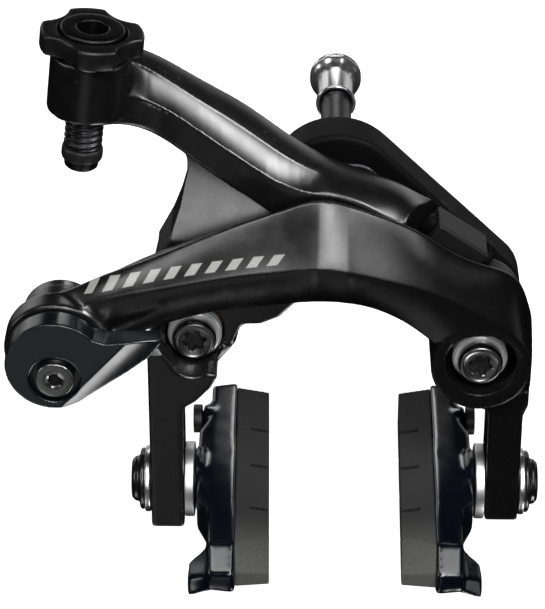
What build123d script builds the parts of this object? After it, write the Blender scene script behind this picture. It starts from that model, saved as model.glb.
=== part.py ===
from build123d import *
import math
import os

# Rim brake caliper, front version. Millimetres. +X right seen from the front, +Y from the front to the fork,
# +Z up. The origin is on the axis of the mounting stud, in the plane of the mounting face on the fork.

os.makedirs("parts", exist_ok=True)

# ---- driving dimensions ----
PIVOT_X = 26.4             # half the distance between the two pivot bolts
PIVOT_Z = -20.9            # pivots below the stud axis
SHOE_Z = -52.2             # shoe bolts below the stud axis, low in their slots
SHOE_Y = -30.0             # plane of the shoe bolts
SHOE_TRAVEL = 12.0         # height adjustment of a shoe in its leg

PLATE_BACK = -2.4          # bridge plate, back and front faces
PLATE_FRONT = -12.0
WASHER_FRONT = -13.0       # front of the thrust washers that carry the arms
REAR_ARM_FRONT = -28.0     # front of the rear arm behind the front arm
ARM_BACK_GAP = 0.2         # end play of an arm boss against its thrust washer

BOLT_R = 3.0               # M6 pivot bolts and shoe bolts
SLEEVE_R = 4.0             # steel sleeve round each pivot bolt
BUSH_BORE_R = 4.04         # bush pressed into each arm
BUSH_R = 5.0
COLLAR_R = 5.1             # bright collar behind each pivot bolt's head
HEAD_R = 4.1               # Torx pan head
HEAD_H = 2.4
COLLAR_H = 2.8
LEFT_HEAD_Y = -30.4        # front faces of the two bolt heads
RIGHT_HEAD_Y = -38.0
LEFT_BOSS_R = 8.2
RIGHT_BOSS_R = 9.2
RECESS_R = 6.6             # pocket round the right bolt's head

LEG_IN = 28.6              # legs, inner and outer faces from the middle
LEG_OUT = 34.9
LEG_FRONT = -36.0
LEG_BACK = -24.0
LEFT_LEG_BOTTOM = -59.4
RIGHT_LEG_BOTTOM = -57.2
SLOT_HALF = 3.1

STUD_R = 3.0               # M6 stud, plain where it goes through the fork
STUD_SHANK_END = 25.0
STUD_THREAD_R = 2.95
STUD_SHOULDER_R = 3.2      # pressed into the bridge plate
STUD_HEAD_R = 4.9
STUD_HEAD_Y = -9.0         # back of the stud's head, in the plate
STUD_END = 32.0
WASHER_H = 1.5             # toothed washer on the fork
NUT_START = 25.7           # recessed nut along the stud
NUT_END = 38.8
NUT_R = 4.0
NUT_FLANGE_R = 5.2

ADJ_TILT = 6.5             # adjuster leans this many degrees to the right at its top
ADJ_X = -44.7              # adjuster axis where it leaves the boss at the bottom
ADJ_Y = -31.0
ADJ_Z = 28.0
ADJ_BOSS_R = 7.0
ADJ_BOSS_H = 11.0
BARREL_R = 3.45
BARREL_BORE_R = 3.5
BARREL_DROP = 11.4         # barrel below the boss
KNOB_R = 9.1
KNOB_FLOOR = 11.7          # knob, heights above the boss's bottom
KNOB_TOP = 15.4
BARREL_HEAD_R = 5.7
SOCKET_R = 2.75            # cable housing socket in the barrel
SOCKET_DEPTH = 9.0
CABLE_HOLE_R = 1.2
END_R = 3.1                # plain end of the barrel inside its end ring

CAM_X = -50.9              # quick-release cam axis
CAM_Z = -16.0
CAM_R = 5.0
CABLE_END_R = 9.6          # front arm's disc behind the lever
CABLE_END_BACK = -30.4
LEVER_DISC_R = 8.95
ANCHOR_R = 2.1
LEVER_BACK = -42.2
LEVER_FRONT = -47.0
HUB_BACK = -27.8           # clamp hub on the back of the cable end
HUB_FRONT = -30.2
ANCHOR_DROP = 2.8          # anchor bolt below the cam axis

ROLLER_Z = 1.5             # roller that synchronises the arms
ROLLER_R = 2.5
ROLLER_PIN_R = 1.2
THREAD_PITCH = 1.0
CENTRE_TILT = -35.0        # direction of the centring screw in the front view, degrees
CENTRE_X = 16.2            # where its axis leaves the end of the rear arm's tongue
CENTRE_Y = -24.4
CENTRE_Z = 1.9
CENTRE_SCREW_R = 2.0

PAD_FACE = 12.5            # from the middle at the shoe bolt: pad face, pad to holder, holder back, boss face
HOLDER_IN = 18.8
HOLDER_OUT = 23.8
BOSS_FACE = 26.6
SHOE_BACK = -3.6
SHOE_FRONT = -62.4
TOE_IN = 0.8               # degrees that the front of each shoe leans to the middle
GROOVES = (-19.0, -31.2, -45.0)
SHOE_BOLT_HOLE_R = BOLT_R + 0.1
PAD_SCREW_R = 1.5
PAD_SCREW_Y = -12.6
PAD_SCREW_Z = 2.2
PAD_SCREW_SEAT = 25.6      # from the middle: back of the screw's head


def finish(piece, name):
    """Label one finished piece and write it."""
    piece.part.label = name
    export_step(piece.part, f"parts/{name}.step")


def front_plane(y):
    """Plane seen from the front at depth y: local x is +X, local y is +Z, extrusions go to the front."""
    return Plane.XZ.offset(-y)


def axis_plane(x, z, y):
    """The same plane, with its origin on an axis that runs front to back."""
    return Plane(origin=(x, y, z), x_dir=(1, 0, 0), z_dir=(0, -1, 0))


def ring(name, x, z, back, front, outer, inner, edge=0.0):
    """Plain ring or tube along Y."""
    with BuildPart() as piece:
        with BuildSketch(axis_plane(x, z, back)):
            Circle(outer)
            Circle(inner, mode=Mode.SUBTRACT)
        extrude(amount=back - front)
        if edge:
            front_edges = piece.edges().filter_by(GeomType.CIRCLE).group_by(Axis.Y)[0]
            chamfer(front_edges.sort_by(SortBy.RADIUS)[-1:], edge)
    finish(piece, name)


def outline(plane, points):
    """Closed outline on a plane, from points as (local x, local y)."""
    with BuildSketch(plane) as sketch:
        with BuildLine():
            Polyline(points, close=True)
        make_face()
    return sketch.sketch


def bulge(start, end, height):
    """Arc from start to end whose middle stands a height to the left of the straight line."""
    across = ((start[1] - end[1]), (end[0] - start[0]))
    length = math.hypot(*across)
    middle = ((start[0] + end[0]) / 2 + across[0] / length * height,
              (start[1] + end[1]) / 2 + across[1] / length * height)
    return ThreePointArc(start, middle, end)


# ---- bridge plate: ties the two pivots and the stud together ----
def bridge_plate():
    with BuildPart() as piece:
        with BuildSketch(front_plane(PLATE_BACK)):
            Circle(12.6)
            with Locations((PIVOT_X, PIVOT_Z)):
                Circle(9.0)
            with Locations((-PIVOT_X, PIVOT_Z)):
                Circle(7.6)
            make_hull()
            # tyre clearance
            with Locations((0, -42)):
                Circle(28, mode=Mode.SUBTRACT)
        extrude(amount=PLATE_BACK - PLATE_FRONT)
        chamfer(piece.faces().sort_by(Axis.Y)[-1].edges(), 1.2)
        # seat of the toothed washer
        with BuildSketch(front_plane(-WASHER_H)):
            Circle(8.4)
        extrude(amount=2.5)
        # weight-saving pockets in the back, one on each slope
        for side in (-1, 1):
            pocket = [(side * 9.5, -1.5), (side * 20, -12.5), (side * 18.5, -16.0), (side * 10.5, -10.5)]
            extrude(outline(front_plane(PLATE_BACK), pocket), amount=2.5, mode=Mode.SUBTRACT)
        # stud hole with a counterbore for its head, and the two pivot holes
        with BuildSketch(front_plane(0)):
            Circle(STUD_SHOULDER_R)
        extrude(amount=-PLATE_FRONT, mode=Mode.SUBTRACT)
        with BuildSketch(front_plane(STUD_HEAD_Y)):
            Circle(STUD_HEAD_R + 0.1)
        extrude(amount=STUD_HEAD_Y - PLATE_FRONT, mode=Mode.SUBTRACT)
        with BuildSketch(front_plane(0)):
            with Locations((-PIVOT_X, PIVOT_Z), (PIVOT_X, PIVOT_Z)):
                Circle(BOLT_R)
        extrude(amount=-PLATE_FRONT, mode=Mode.SUBTRACT)
    finish(piece, "bridge_plate")


# ---- mounting hardware on the stud ----
def threaded_rod_profile(radius, start, end, pitch, depth):
    """Half profile of ring grooves that stand for a thread, as (radius, height) points from start to end."""
    points = []
    count = int((end - start) / pitch)
    for turn in range(count):
        low = start + turn * pitch
        points += [(radius, low + pitch * 0.15), (radius - depth, low + pitch * 0.5)]
        points += [(radius, low + pitch * 0.85)]
    return points


def mounting_stud():
    thread = threaded_rod_profile(STUD_THREAD_R, STUD_SHANK_END + 0.2, STUD_END - 1.0, THREAD_PITCH, 0.3)
    profile = [(0, PLATE_FRONT), (STUD_HEAD_R, PLATE_FRONT), (STUD_HEAD_R, STUD_HEAD_Y)]
    profile += [(STUD_SHOULDER_R, STUD_HEAD_Y), (STUD_SHOULDER_R, 0), (STUD_R, 0), (STUD_R, STUD_SHANK_END)]
    profile += [(STUD_THREAD_R, STUD_SHANK_END)] + thread
    profile += [(STUD_THREAD_R, STUD_END - 0.8), (STUD_THREAD_R - 0.7, STUD_END), (0, STUD_END)]
    with BuildPart() as piece:
        add(outline(Plane.XY, profile))
        revolve(axis=Axis.Y)
    finish(piece, "mounting_stud")


def toothed_washer():
    with BuildPart() as piece:
        with BuildSketch(front_plane(0)):
            Circle(8.0)
            Circle(STUD_SHOULDER_R + 0.05, mode=Mode.SUBTRACT)
        extrude(amount=WASHER_H)
        with BuildSketch(front_plane(0)):
            with PolarLocations(6.7, 20):
                Rectangle(3.2, 0.8)
        extrude(amount=0.45, mode=Mode.SUBTRACT)
    finish(piece, "toothed_washer")


def recessed_nut():
    bore = STUD_THREAD_R + 0.05
    profile = [
        (bore, NUT_START + 0.7), (bore + 0.5, NUT_START), (NUT_R - 0.25, NUT_START),
        (NUT_R, NUT_START + 0.3), (NUT_R, NUT_END - 4.2), (NUT_R + 0.45, NUT_END - 2.9),
        (NUT_FLANGE_R - 0.15, NUT_END - 2.2), (NUT_FLANGE_R, NUT_END - 1.9), (NUT_FLANGE_R, NUT_END - 0.6),
        (NUT_FLANGE_R - 0.5, NUT_END), (bore, NUT_END),
    ]
    with BuildPart() as piece:
        add(outline(Plane.XY, profile))
        revolve(axis=Axis.Y)
        # web that leaves a 5 mm hex socket in the flange end
        with BuildSketch(front_plane(NUT_END - 0.4)):
            Circle(bore + 0.05)
            RegularPolygon(2.5, 6, major_radius=False, mode=Mode.SUBTRACT)
        extrude(amount=4.0)
    finish(piece, "recessed_nut")


# ---- pivot hardware ----
def torx_socket():
    """Six-lobed T25 socket outline, drawn in the current sketch."""
    Circle(1.75)
    with PolarLocations(1.72, 6):
        Circle(0.55)


def pivot_bolt(name, x, head_y):
    with BuildPart() as piece:
        with BuildSketch(axis_plane(x, PIVOT_Z, head_y + HEAD_H)):
            Circle(HEAD_R)
        extrude(amount=HEAD_H)
        fillet(piece.edges().group_by(Axis.Y)[0], 0.7)
        with BuildSketch(axis_plane(x, PIVOT_Z, PLATE_BACK - 0.8)):
            Circle(BOLT_R)
        extrude(amount=PLATE_BACK - 0.8 - (head_y + HEAD_H))
        with BuildSketch(axis_plane(x, PIVOT_Z, head_y)):
            torx_socket()
        extrude(amount=-1.9, mode=Mode.SUBTRACT)
    finish(piece, name)


def pivot_hardware(side, x, head_y):
    """Bolt, collar, sleeve, bush and thrust washer of one pivot."""
    collar_front = head_y + HEAD_H
    boss_front = collar_front + COLLAR_H
    pivot_bolt(f"{side}_pivot_bolt", x, head_y)
    ring(f"{side}_pivot_collar", x, PIVOT_Z, boss_front, collar_front, COLLAR_R, BOLT_R, 0.4)
    ring(f"{side}_pivot_sleeve", x, PIVOT_Z, PLATE_FRONT, boss_front, SLEEVE_R, BOLT_R)
    ring(f"{side}_pivot_bush", x, PIVOT_Z, WASHER_FRONT - ARM_BACK_GAP, boss_front + 0.3, BUSH_R, BUSH_BORE_R)
    ring(f"{side}_thrust_washer", x, PIVOT_Z, PLATE_FRONT, WASHER_FRONT, 6.8, BUSH_BORE_R)


# ---- rear arm: adjuster boss, channelled beam, tongue, web, left pivot boss and left leg ----
# Sections of the beam and tongue: width, then (depth, height) of the back top edge, the rounded front top,
# the sharp lower ridge of the channel, the front bottom edge and the back bottom edge.
REAR_BEAM = [
    (-42.0, (-25.0, 38.0), (-29.6, 37.2), (-34.5, 32.6), (-34.5, 26.0), (-24.5, 25.0)),
    (-37.0, (-22.5, 36.2), (-27.2, 35.4), (-31.5, 31.2), (-31.0, 24.4), (-20.5, 22.8)),
    (-32.0, (-20.0, 33.0), (-25.2, 32.0), (-29.5, 28.1), (-29.0, 21.2), (-18.0, 19.6)),
    (-25.0, (-18.0, 27.6), (-24.2, 26.4), (-28.6, 22.3), (-28.0, 15.0), (-16.5, 13.5)),
    (-17.0, (-16.5, 21.8), (-23.7, 20.4), (-28.2, 16.0), (-27.4, 8.5), (-15.5, 7.5)),
    (-9.0, (-16.0, 15.3), (-23.6, 14.4), (-28.0, 9.9), (-27.4, 2.0), (-15.0, 1.5)),
    (-2.0, (-16.0, 10.9), (-23.8, 11.0), (-28.0, 9.3), (-27.8, -4.0), (-15.0, -4.0)),
    (5.0, (-16.0, 7.9), (-23.8, 8.6), (-28.0, 6.9), (-27.8, -4.5), (-15.0, -4.5)),
    (12.5, (-16.0, 4.6), (-23.8, 5.1), (-28.0, 3.4), (-27.8, -4.8), (-15.0, -4.8)),
    (20.5, (-16.0, 1.0), (-23.8, 1.4), (-28.0, -0.3), (-27.8, -5.1), (-15.0, -5.1)),
]
TONGUE_CUT = [(18.6, -14.0), (11.9, -29.0), (30, -29.0), (30, -14.0)]


def rear_section(x, back_top, front_top, ridge, front_bottom, back_bottom):
    """Section of the rear arm's beam, rounded over the top."""
    with BuildSketch(Plane.YZ.offset(x)) as sketch:
        with BuildLine():
            ThreePointArc(back_top, front_top, ridge)
            Polyline(ridge, front_bottom, back_bottom, back_top)
        make_face()
    return sketch.sketch


def rear_arm():
    beam_back = WASHER_FRONT - ARM_BACK_GAP
    boss_front = LEFT_HEAD_Y + HEAD_H + COLLAR_H + 0.3
    back_web = [
        (-33.6, -21), (-33.4, -6), (-30.5, -0.5), (-28.8, 4.0), (-27.7, 8.0), (-27.6, 11.6), (-29.0, 15.4),
        (-32.5, 18.6), (-26, 22), (-8, 8), (-2, -4), (-10, -6.5), (-19.5, -14),
    ]
    front_web = [
        (-33.6, -21), (-33.4, -6), (-30.5, -0.5), (-28.8, 4.0), (-27.5, 9.6), (-11.5, 6.6), (-6, 2), (-2, -4),
        (-6, -13), (-10.5, -17.8), (-14.0, -19.4), (-17.6, -19.6), (-19.5, -24),
    ]
    leg = [
        (-LEG_OUT, LEFT_LEG_BOTTOM), (-LEG_OUT, -19.5), (-32.9, -19.3), (-30.6, -21.9), (-27.0, -23.4),
        (-21.8, -24.8), (-23.2, -27.6), (-26.2, -30.8), (-LEG_IN, -32.4), (-LEG_IN, LEFT_LEG_BOTTOM),
    ]
    knee = [
        (-LEG_OUT, -32), (-LEG_OUT, -14), (-33.6, -8), (-26, -12), (-18.6, -23.5), (-22.8, -29.0),
        (-LEG_IN, -32.4),
    ]
    with BuildPart() as piece:
        loft([rear_section(*row) for row in REAR_BEAM])
        # end of the tongue, cut square to the centring screw
        extrude(outline(Plane.XY.offset(-30), TONGUE_CUT), amount=60, mode=Mode.SUBTRACT)
        # web from the beam down to the pivot boss, then the leg
        extrude(outline(front_plane(beam_back - 1.5), back_web), amount=6.0)
        extrude(outline(front_plane(beam_back - 4.0), front_web), amount=9.3)
        extrude(outline(front_plane(LEG_BACK), leg), amount=LEG_BACK - LEG_FRONT)
        extrude(outline(front_plane(beam_back - 1.0), knee), amount=11.8)
        # bosses for the pivot and the adjuster
        with BuildSketch(axis_plane(-PIVOT_X, PIVOT_Z, beam_back)):
            Circle(LEFT_BOSS_R)
        extrude(amount=beam_back - boss_front)
        with BuildSketch(adjuster_plane(0)):
            Circle(ADJ_BOSS_R)
        extrude(amount=ADJ_BOSS_H)
        # bores, shoe slot and roller track
        with BuildSketch(axis_plane(-PIVOT_X, PIVOT_Z, boss_front)):
            Circle(COLLAR_R + 0.4)
        extrude(amount=boss_front - LEFT_HEAD_Y + 0.5, mode=Mode.SUBTRACT)
        with BuildSketch(axis_plane(-PIVOT_X, PIVOT_Z, boss_front)):
            Circle(HEAD_R + 0.2)
        extrude(amount=20, mode=Mode.SUBTRACT)
        with BuildSketch(axis_plane(-PIVOT_X, PIVOT_Z, 0)):
            Circle(BUSH_R)
        extrude(amount=-boss_front, mode=Mode.SUBTRACT)
        with BuildSketch(adjuster_plane(-5)):
            Circle(BARREL_BORE_R)
        extrude(amount=ADJ_BOSS_H + 10, mode=Mode.SUBTRACT)
        extrude(shoe_slot(-1), amount=LEG_OUT - LEG_IN + 4, mode=Mode.SUBTRACT)
        extrude(roller_track(), amount=-5.8, mode=Mode.SUBTRACT)
    finish(piece, "rear_arm")


def adjuster_plane(height):
    """Plane square to the adjuster's axis, at a height above the bottom of its boss, x to the right."""
    lean = math.radians(ADJ_TILT)
    up = (math.sin(lean), 0, math.cos(lean))
    side = (math.cos(lean), 0, -math.sin(lean))
    origin = (ADJ_X + up[0] * height, ADJ_Y, ADJ_Z + up[2] * height)
    return Plane(origin=origin, x_dir=side, z_dir=up)


def shoe_slot(side):
    """Outline of the slot across a leg for the shoe bolt, just inside the leg."""
    middle = (side * (LEG_IN - 2), SHOE_Y, SHOE_Z + SHOE_TRAVEL / 2)
    with BuildSketch(Plane(origin=middle, x_dir=(0, 0, 1), z_dir=(side, 0, 0))) as slot:
        SlotCenterToCenter(SHOE_TRAVEL, 2 * SLOT_HALF)
    return slot.sketch


def roller_track():
    """Outline of the curved track in the front of the rear arm where the roller of the front arm runs."""
    reach = PIVOT_X - 2.4
    with BuildSketch(axis_plane(0, ROLLER_Z, REAR_ARM_FRONT - 0.2)) as track:
        with BuildLine() as path:
            CenterArc((0, -reach), reach, 69, 27)
        SlotArc(path.edges()[0], 2 * ROLLER_R + 0.8)
    return track.sketch


# ---- front arm: cable end, arm over the tyre, right pivot boss and right leg ----
# Sections: width, then (depth, height) of the back top edge, the top ridge, the crease, the front bottom
# edge and the back bottom edge, and how far the faces above and below the crease bulge.
FRONT_BEAM = [
    (-50.0, (-31.0, -9.2), (-37.0, -6.4), (-40.0, -8.6), (-38.4, -19.6), (-31.0, -20.5), 0.3, 0.9),
    (-44.0, (-30.7, -7.6), (-36.2, -3.8), (-40.2, -6.3), (-38.0, -17.6), (-30.7, -18.6), 0.3, 1.1),
    (-36.0, (-28.8, -4.0), (-35.8, -0.7), (-40.2, -4.2), (-37.4, -14.6), (-28.8, -15.6), 0.4, 1.2),
    (-26.0, (-28.8, 0.4), (-35.0, 3.4), (-40.2, -2.3), (-37.0, -11.2), (-28.8, -12.0), 0.4, 1.1),
    (-16.0, (-28.8, 4.4), (-34.2, 7.2), (-40.2, -0.6), (-37.0, -9.4), (-28.8, -10.0), 0.4, 1.0),
    (-9.0, (-28.8, 6.9), (-33.7, 9.6), (-40.3, 0.2), (-37.0, -8.6), (-28.8, -9.2), 0.4, 0.9),
    (-3.4, (-28.8, 8.3), (-33.5, 11.1), (-40.4, 0.8), (-37.1, -8.0), (-28.8, -8.7), 0.4, 0.8),
    (1.6, (-28.8, 7.6), (-33.5, 10.2), (-40.4, 0.1), (-37.2, -8.2), (-28.8, -8.9), 0.4, 0.7),
    (8.0, (-28.8, 5.1), (-33.5, 7.8), (-40.4, -1.5), (-37.4, -9.9), (-28.8, -10.6), 0.5, 0.6),
    (14.0, (-28.8, 2.5), (-33.5, 5.1), (-40.4, -3.1), (-37.8, -13.2), (-28.8, -14.0), 0.6, 0.5),
    (20.0, (-28.8, -1.4), (-33.5, 1.0), (-40.3, -5.6), (-38.4, -17.8), (-28.8, -19.0), 0.7, 0.5),
    (27.0, (-28.8, -4.6), (-33.2, -2.4), (-40.1, -9.6), (-38.8, -21.0), (-28.8, -22.0), 0.8, 0.4),
    (33.0, (-28.8, -7.6), (-32.8, -6.0), (-39.4, -14.6), (-38.4, -24.5), (-28.8, -25.0), 0.8, 0.3),
    (35.8, (-28.8, -14.5), (-32.0, -14.0), (-37.4, -18.5), (-37.0, -26.0), (-28.8, -26.5), 0.4, 0.2),
]


def front_section(x, back_top, ridge, crease, front_bottom, back_bottom, upper_bulge, lower_bulge):
    """Section of the front arm's beam, with softly rounded faces above and below the crease."""
    with BuildSketch(Plane.YZ.offset(x)) as sketch:
        with BuildLine():
            Line(back_top, ridge)
            bulge(ridge, crease, -upper_bulge)
            bulge(crease, front_bottom, -lower_bulge)
            Polyline(front_bottom, back_bottom, back_top)
        make_face()
    return sketch.sketch


def front_arm():
    boss_back = WASHER_FRONT - ARM_BACK_GAP
    boss_front = -39.0
    recess_floor = RIGHT_HEAD_Y + HEAD_H + COLLAR_H + 0.3
    leg = [
        (LEG_IN, RIGHT_LEG_BOTTOM), (LEG_OUT, RIGHT_LEG_BOTTOM), (LEG_OUT, -33.4), (35.8, -31.0), (35.8, -22.0),
        (20.0, -22.0), (20.6, -28.0), (24.2, -30.8), (LEG_IN, -32.4),
    ]
    with BuildPart() as piece:
        loft([front_section(*row) for row in FRONT_BEAM])
        # right pivot boss, then the leg with its shoulder
        with BuildSketch(axis_plane(PIVOT_X, PIVOT_Z, boss_back)):
            Circle(RIGHT_BOSS_R)
        extrude(amount=boss_back - boss_front)
        extrude(outline(front_plane(LEG_BACK), leg), amount=LEG_BACK - LEG_FRONT)
        # round cable end, with a thicker disc behind the lever
        with BuildSketch(axis_plane(CAM_X, CAM_Z, CABLE_END_BACK)):
            Circle(7.6)
        extrude(amount=8.0)
        with BuildSketch(axis_plane(CAM_X, CAM_Z, -36.6)):
            Circle(CABLE_END_R)
        extrude(amount=5.0)
        fillet(piece.edges().filter_by(GeomType.CIRCLE).group_by(Axis.Y)[0], 0.5)
        # bores for the pivot bush, the bolt's recess, the cam and the roller pin, and the shoe slot
        with BuildSketch(axis_plane(PIVOT_X, PIVOT_Z, 0)):
            Circle(BUSH_R)
        extrude(amount=60, mode=Mode.SUBTRACT)
        with BuildSketch(axis_plane(PIVOT_X, PIVOT_Z, recess_floor)):
            Circle(RECESS_R)
        extrude(amount=20, mode=Mode.SUBTRACT)
        with BuildSketch(axis_plane(CAM_X, CAM_Z, -20)):
            Circle(CAM_R + 0.05)
        extrude(amount=30, mode=Mode.SUBTRACT)
        with BuildSketch(axis_plane(0, ROLLER_Z, REAR_ARM_FRONT)):
            Circle(ROLLER_PIN_R)
        extrude(amount=5.4, mode=Mode.SUBTRACT)
        extrude(shoe_slot(1), amount=LEG_OUT - LEG_IN + 4, mode=Mode.SUBTRACT)
    finish(piece, "front_arm")


# ---- roller that keeps the arms level ----
def sync_roller():
    with BuildPart() as pin:
        with BuildSketch(axis_plane(0, ROLLER_Z, -23.4)):
            Circle(ROLLER_PIN_R)
        extrude(amount=8.0)
    finish(pin, "roller_pin")
    ring("sync_roller", 0, ROLLER_Z, -23.6, -28.3, ROLLER_R, ROLLER_PIN_R + 0.05)


# ---- centring block and screw behind the right end of the front arm ----
def centring_plane(along, y=CENTRE_Y):
    """Plane square to the centring screw, a distance along it from the tongue's end face."""
    angle = math.radians(CENTRE_TILT)
    direction = (math.cos(angle), 0, math.sin(angle))
    origin = (CENTRE_X + along * direction[0], y, CENTRE_Z + along * direction[2])
    return Plane(origin=origin, x_dir=(0, -1, 0), z_dir=direction)


def centring_unit():
    with BuildPart() as block:
        with BuildSketch(centring_plane(1.2, CENTRE_Y - 0.5)):
            Rectangle(7.6, 5.2)
        extrude(amount=11.0)
        chamfer(block.edges().filter_by(Plane.XZ), 0.3)
        with BuildSketch(centring_plane(-2)):
            Circle(CENTRE_SCREW_R)
        extrude(amount=20, mode=Mode.SUBTRACT)
    finish(block, "centring_block")
    with BuildPart() as screw:
        with BuildSketch(centring_plane(0.0)):
            Circle(CENTRE_SCREW_R - 0.05)
        extrude(amount=12.5)
        with BuildSketch(centring_plane(12.5)):
            Circle(2.9)
        extrude(amount=1.6)
        with BuildSketch(centring_plane(14.1)):
            RegularPolygon(1.0, 6, major_radius=False)
        extrude(amount=-1.2, mode=Mode.SUBTRACT)
    finish(screw, "centring_screw")


# ---- return spring between the plate and the arms ----
def return_spring():
    wire_y = (PLATE_FRONT + WASHER_FRONT) / 2 - 0.4
    half_route = [(17.0, -15.0), (9.0, -8.0), (7.5, 7.0)]
    route = [(-x, wire_y, z) for x, z in half_route] + [(x, wire_y, z) for x, z in reversed(half_route)]
    with BuildPart() as piece:
        with BuildLine() as path:
            FilletPolyline(*route, radius=5.0)
        with BuildSketch(Plane(origin=path.line @ 0, z_dir=path.line % 0)):
            Circle(0.65)
        sweep()
    finish(piece, "return_spring")


# ---- cable adjuster ----
def adjuster_knob():
    with BuildPart() as knob:
        with BuildSketch(adjuster_plane(KNOB_FLOOR)) as lobes:
            Circle(KNOB_R)
            with PolarLocations(11.7, 4, start_angle=55):
                Circle(4.9, mode=Mode.SUBTRACT)
            fillet(lobes.vertices(), 1.0)
            Circle(BARREL_BORE_R, mode=Mode.SUBTRACT)
        extrude(amount=KNOB_TOP - KNOB_FLOOR)
        turning_axis = Axis(adjuster_plane(0).origin, adjuster_plane(0).z_dir)
        chamfer(knob.edges().group_by(turning_axis)[-1], 0.4)
        with BuildSketch(adjuster_plane(KNOB_FLOOR + 1.5)):
            Circle(BARREL_HEAD_R + 0.05)
        extrude(amount=10, mode=Mode.SUBTRACT)
    finish(knob, "adjuster_knob")


def adjuster_barrel():
    thread_start = -BARREL_DROP + 4.3
    head_low = KNOB_FLOOR + 1.55
    head_top = KNOB_TOP + 0.8
    profile = [(CABLE_HOLE_R, -BARREL_DROP), (END_R - 0.1, -BARREL_DROP), (END_R, -BARREL_DROP + 0.3)]
    profile += [(END_R, thread_start - 0.2), (BARREL_R, thread_start - 0.1)]
    profile += threaded_rod_profile(BARREL_R, thread_start, 5.0, 1.2, 0.4)
    profile += [(BARREL_R, 6.0), (BARREL_R, head_low), (BARREL_HEAD_R, head_low), (BARREL_HEAD_R, KNOB_TOP)]
    profile += [(BARREL_HEAD_R - 0.9, head_top), (SOCKET_R + 0.4, head_top), (SOCKET_R, head_top - 0.4)]
    profile += [(SOCKET_R, head_top - SOCKET_DEPTH), (CABLE_HOLE_R, head_top - SOCKET_DEPTH)]
    base = adjuster_plane(0)
    with BuildPart() as barrel:
        add(outline(Plane(origin=base.origin, x_dir=base.x_dir, z_dir=-base.y_dir), profile))
        revolve(axis=Axis(base.origin, base.z_dir))
    finish(barrel, "adjuster_barrel")


def adjuster_rings():
    with BuildPart() as end_ring:
        with BuildSketch(adjuster_plane(-BARREL_DROP + 1.8)):
            Circle(END_R + 0.6)
            Circle(END_R, mode=Mode.SUBTRACT)
        extrude(amount=2.2)
        fillet(end_ring.edges().filter_by(GeomType.CIRCLE).sort_by(SortBy.RADIUS)[-2:], 0.45)
    finish(end_ring, "barrel_end_ring")

    with BuildPart() as detent:
        with BuildSketch(adjuster_plane(ADJ_BOSS_H)):
            Circle(5.6)
            Circle(BARREL_BORE_R + 0.2, mode=Mode.SUBTRACT)
        extrude(amount=0.4)
    finish(detent, "detent_washer")


# ---- quick release and cable clamp ----
def anchor_plane(y):
    """Front plane with its origin on the anchor bolt's axis."""
    return axis_plane(CAM_X, CAM_Z - ANCHOR_DROP, y)


def quick_release_lever():
    tail = [
        (-46.8, -24.0), (-45.6, -9.0), (-44.0, -10.4), (-41.4, -11.2), (-38.5, -10.9), (-32.0, -10.8),
        (-31.6, -11.6), (-33.8, -14.6), (-37.7, -17.7),
    ]
    with BuildPart() as lever:
        extrude(outline(front_plane(LEVER_BACK), tail), amount=LEVER_BACK - LEVER_FRONT)
        with BuildSketch(axis_plane(CAM_X, CAM_Z, LEVER_BACK)):
            Circle(LEVER_DISC_R)
        extrude(amount=LEVER_BACK - LEVER_FRONT)
        with BuildSketch(anchor_plane(LEVER_FRONT)):
            Circle(4.65)
        extrude(amount=-1.6, mode=Mode.SUBTRACT)
        with BuildSketch(anchor_plane(LEVER_FRONT)):
            Circle(ANCHOR_R)
        extrude(amount=-10, mode=Mode.SUBTRACT)
    finish(lever, "quick_release_lever")


def cam_and_hub():
    cam_back = HUB_BACK - 1.0
    with BuildPart() as cam:
        with BuildSketch(axis_plane(CAM_X, CAM_Z, cam_back)):
            Circle(CAM_R)
        extrude(amount=cam_back - LEVER_BACK)
        with BuildSketch(anchor_plane(cam_back)):
            Circle(ANCHOR_R)
        extrude(amount=20, mode=Mode.SUBTRACT)
    finish(cam, "cam_shaft")

    with BuildPart() as hub:
        with BuildSketch(axis_plane(CAM_X, CAM_Z, HUB_BACK)):
            Circle(7.2)
        extrude(amount=HUB_BACK - HUB_FRONT)
        fillet(hub.edges().group_by(Axis.Y)[-1], 0.8)
        with BuildSketch(axis_plane(CAM_X, CAM_Z, cam_back)):
            Circle(CAM_R)
        extrude(amount=5, mode=Mode.SUBTRACT)
        with BuildSketch(anchor_plane(HUB_BACK)):
            Circle(ANCHOR_R)
        extrude(amount=5, mode=Mode.SUBTRACT)
    finish(hub, "rear_clamp_hub")


def anchor_bolt():
    head_back = LEVER_FRONT + 1.6
    shank_end = HUB_BACK + 0.6
    with BuildPart() as anchor:
        with BuildSketch(anchor_plane(head_back)):
            Circle(3.5)
        extrude(amount=1.9)
        fillet(anchor.edges().group_by(Axis.Y)[0], 0.4)
        with BuildSketch(anchor_plane(shank_end)):
            Circle(ANCHOR_R)
        extrude(amount=shank_end - head_back)
        with BuildSketch(anchor_plane(head_back - 1.9)):
            RegularPolygon(1.5, 6, major_radius=False)
        extrude(amount=-1.5, mode=Mode.SUBTRACT)
    finish(anchor, "anchor_bolt")


# ---- shoes ----
def toed_plane(side, x, y=SHOE_Y):
    """Plane along a shoe at distance x from the middle, looking outward, turned by the toe-in about the
    upright line through the shoe bolt. Its origin is level with the bolt, at y along the shoe."""
    turn = math.radians(TOE_IN)
    outward = (side * math.cos(turn), -math.sin(turn))
    along = (math.sin(turn), side * math.cos(turn))
    inset = x - BOSS_FACE
    back = side * (y - SHOE_Y)
    origin = (side * BOSS_FACE + inset * outward[0] + back * along[0],
              SHOE_Y + inset * outward[1] + back * along[1], SHOE_Z)
    return Plane(origin=origin, x_dir=(*along, 0), z_dir=(*outward, 0))


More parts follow.
